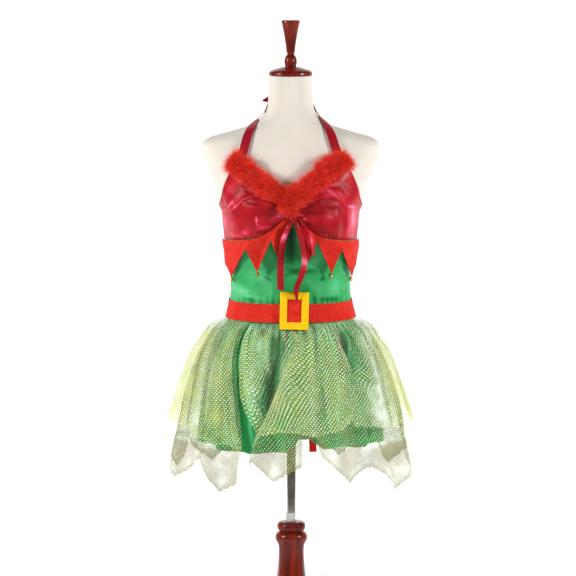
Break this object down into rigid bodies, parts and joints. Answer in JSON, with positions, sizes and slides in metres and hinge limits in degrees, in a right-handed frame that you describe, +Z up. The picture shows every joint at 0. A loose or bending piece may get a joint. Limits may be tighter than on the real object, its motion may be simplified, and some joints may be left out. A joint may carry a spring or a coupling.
{
  "type": "elf costume on a dress form",
  "caption": "Halter-neck elf costume on a limbless dress form: red satin cups, green bodice, felt points with bells, felt belt and a skirt of dotted net",
  "frame": {"origin": "on the floor, at the middle of the bounding box's base, under the middle of the skirt", "axes": "+Z up, -Y out of the costume's front, +X to the viewer's right as it is seen from the front"},
  "size_m": [0.5083, 0.4734, 1.501],
  "materials": {
    "satin_red": "shiny crimson satin",
    "ribbon_red": "dark red satin ribbon",
    "felt_red": "matt red felt",
    "marabou_red": "fluffy red feather trim",
    "satin_green": "shiny mid-green satin",
    "net_green": "see-through yellow-green net with metallic dots",
    "felt_yellow": "matt yellow felt",
    "bell_gold": "polished gold-coloured metal",
    "form_cover": "off-white stretched jersey",
    "wood_mahogany": "dark red-brown gloss varnish",
    "chrome": "polished chrome tube",
    "plastic_white": "smooth white plastic"
  },
  "bodies": {
    "stand": {"pole_collar": "plastic_white", "stand_column": "wood_mahogany", "stand_leg_1": "wood_mahogany", "stand_leg_2": "wood_mahogany", "stand_leg_3": "wood_mahogany"},
    "dressed_form": {"form_torso": "form_cover", "neck_cap": "wood_mahogany", "finial": "wood_mahogany", "pole": "chrome", "bodice_front": "satin_green", "bodice_back": "satin_green", "cup_left": "satin_red", "cup_right": "satin_red", "marabou_left": "marabou_red", "marabou_right": "marabou_red", "strap_left": "ribbon_red", "strap_right": "ribbon_red", "neck_knot": "ribbon_red", "neck_tail_left": "ribbon_red", "neck_tail_right": "ribbon_red", "tie_knot": "satin_red", "tie_tail_left": "satin_red", "tie_tail_right": "satin_red", "tie_loop_right": "satin_red", "points_left": "felt_red", "points_right": "felt_red", "bell_1": "bell_gold", "bell_2": "bell_gold", "bell_3": "bell_gold", "bell_4": "bell_gold", "bell_5": "bell_gold", "bell_6": "bell_gold", "belt": "felt_red", "buckle": "felt_yellow", "buckle_patch": "felt_red", "belt_knot": "felt_red", "belt_tail_left": "felt_red", "belt_tail_right": "felt_red", "underskirt": "satin_green", "net_lower": "net_green", "net_upper": "net_green"}
  },
  "joints": [
    {"name": "height", "type": "slide", "parent": "stand", "child": "dressed_form", "axis": [0, 0, 1], "range_m": [-0.12, 0.15]}
  ]
}
